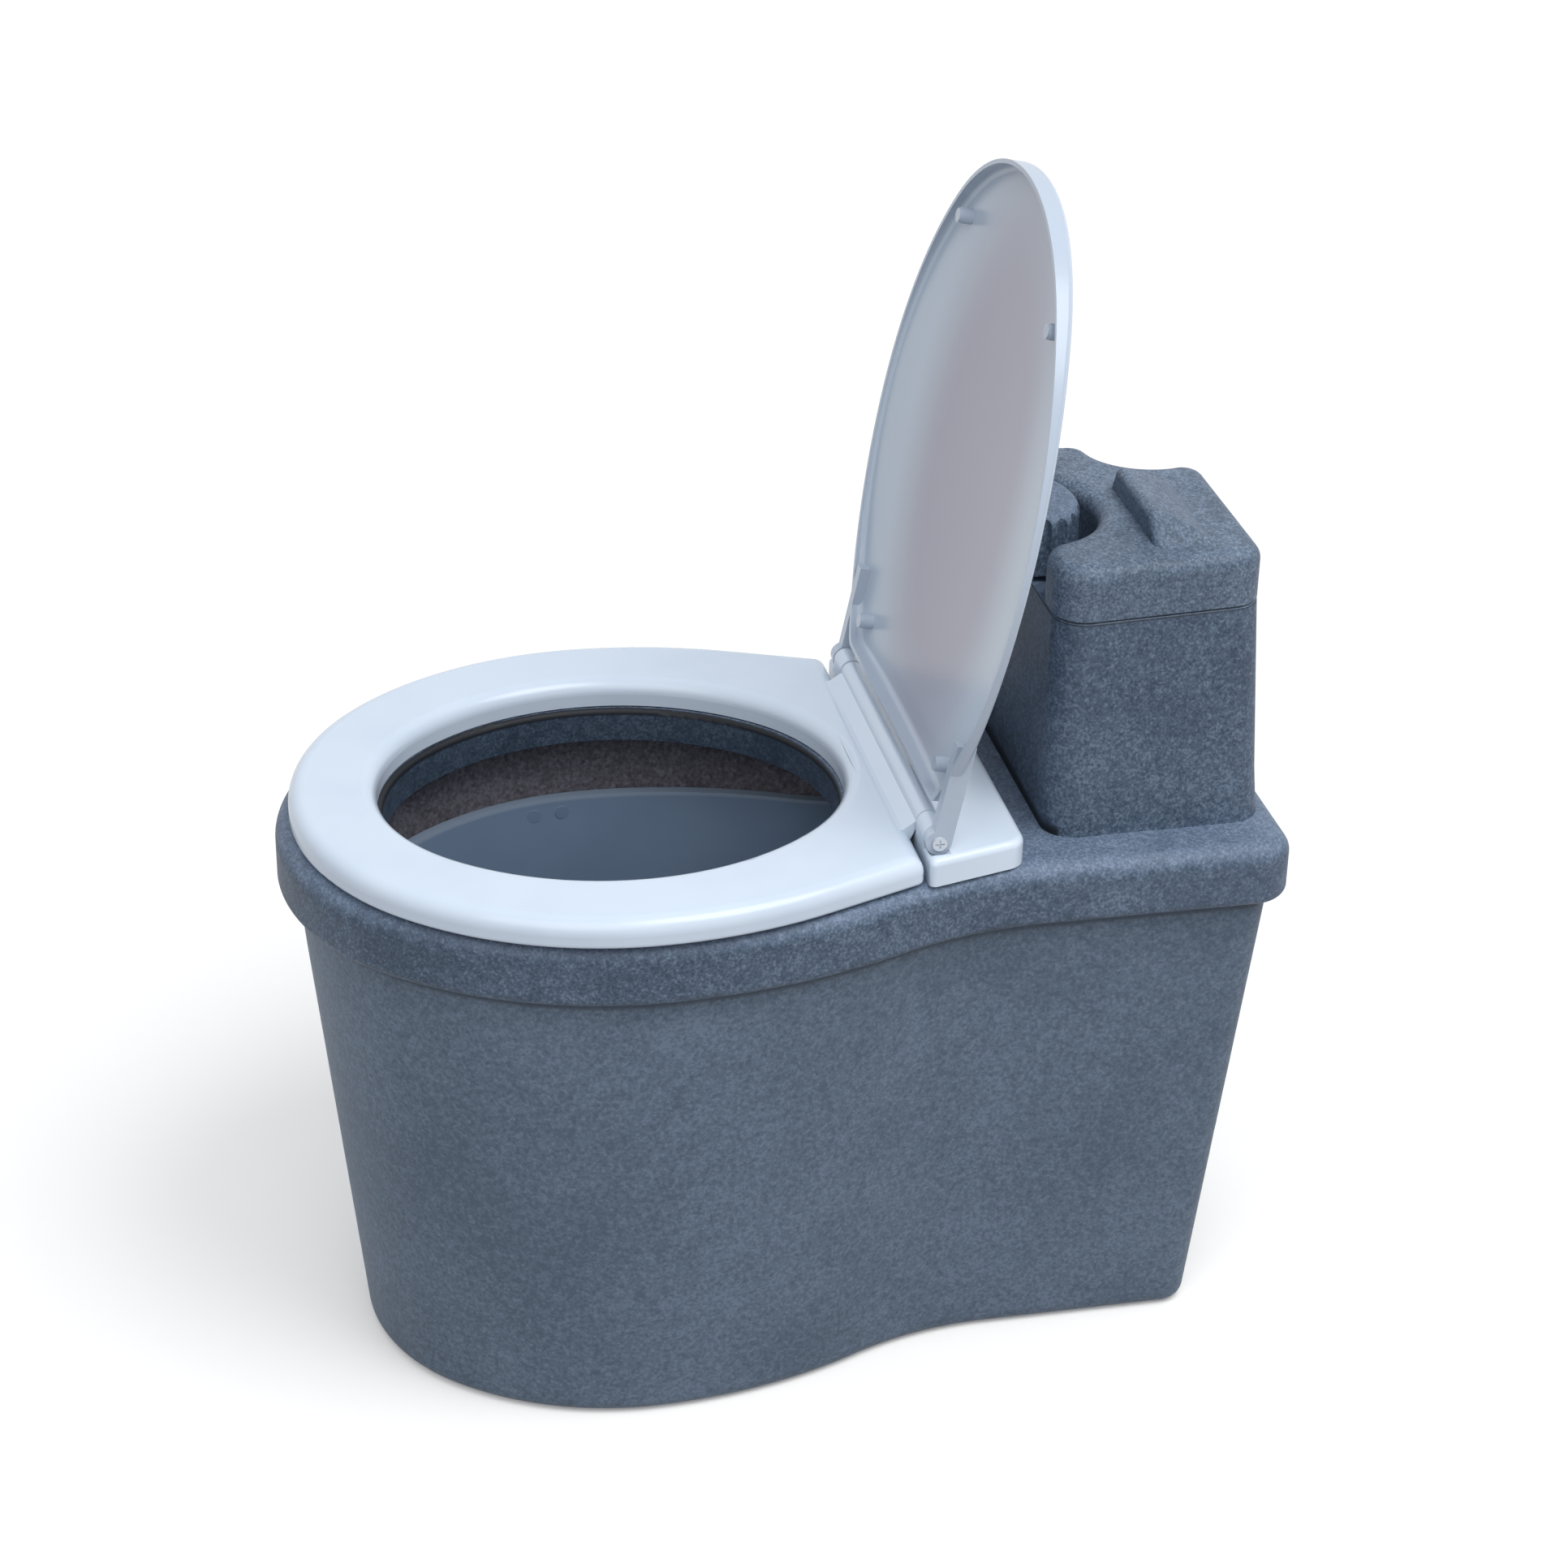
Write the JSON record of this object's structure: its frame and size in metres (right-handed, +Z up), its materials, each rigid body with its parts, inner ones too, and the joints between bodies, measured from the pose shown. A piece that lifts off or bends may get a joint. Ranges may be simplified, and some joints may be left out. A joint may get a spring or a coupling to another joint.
{
  "type": "composting toilet",
  "caption": "Floor-standing composting toilet: tapered tub, lift-off cover, hinged seat and lid, rear litter hopper with a feed knob, drained bucket and vent spigot.",
  "frame": {"origin": "on the floor, on the centre line, 340 mm behind the cover's front edge and 347 mm before its rear edge", "axes": "-Y towards the front of the seat, +Y towards the litter hopper, +X towards the side without the vent, +Z up"},
  "size_m": [0.41, 0.6869, 0.8505],
  "materials": {
    "granite": "speckled, slightly glossy",
    "white": "gloss",
    "bucket_grey": "satin",
    "black_plastic": "satin",
    "bush_white": "satin",
    "pipe_grey": "satin",
    "rubber": "matt",
    "steel": "plain",
    "fibre": "coarse"
  },
  "bodies": {
    "tub": {"outer_tub": "granite", "tub_seal": "rubber", "inner_bucket": "bucket_grey", "false_floor": "black_plastic", "fibre_mat": "fibre", "bucket_grips": "bucket_grey", "grip_rivets": "steel", "drain_tail": "black_plastic", "drain_gasket": "rubber", "drain_nut": "black_plastic"},
    "cover": {"top_cover": "granite", "hinge_plate": "white", "hinge_pins": "steel", "plate_bolts": "steel", "bolt_washers": "steel", "wing_nuts": "black_plastic", "shaft_bushes": "bush_white", "outlet_plate": "black_plastic", "outlet_screws": "steel", "vent_spigot": "pipe_grey", "vent_gasket": "rubber", "vent_screws": "steel"},
    "seat": {"seat_ring": "white", "seat_bumpers": "rubber"},
    "lid": {"seat_lid": "white", "lid_bumpers": "rubber"},
    "feed": {"feed_knob": "granite", "feed_shaft": "steel", "stirrer": "black_plastic", "spreader_wheel": "black_plastic", "shaft_screw": "steel"},
    "hopper_cap": {"hopper_lid": "granite"}
  },
  "joints": [
    {"name": "cover_lift", "type": "slide", "parent": "tub", "child": "cover", "axis": [0, 0, 1], "range_m": [0, 0.25]},
    {"name": "seat_hinge", "type": "hinge", "parent": "cover", "child": "seat", "pos_m": [0, 0.09, 0.437], "axis": [-1, 0, 0], "range_deg": [0, 92]},
    {"name": "lid_hinge", "type": "hinge", "parent": "cover", "child": "lid", "pos_m": [0, 0.09, 0.437], "axis": [-1, 0, 0], "range_deg": [-101.4, 0]},
    {"name": "feed_turn", "type": "hinge", "parent": "cover", "child": "feed", "pos_m": [0, 0.19, 0.45], "axis": [0, 0, 1], "range_deg": [-40, 40]},
    {"name": "hopper_lid_lift", "type": "slide", "parent": "cover", "child": "hopper_cap", "axis": [0, 0, 1], "range_m": [0, 0.12]}
  ]
}
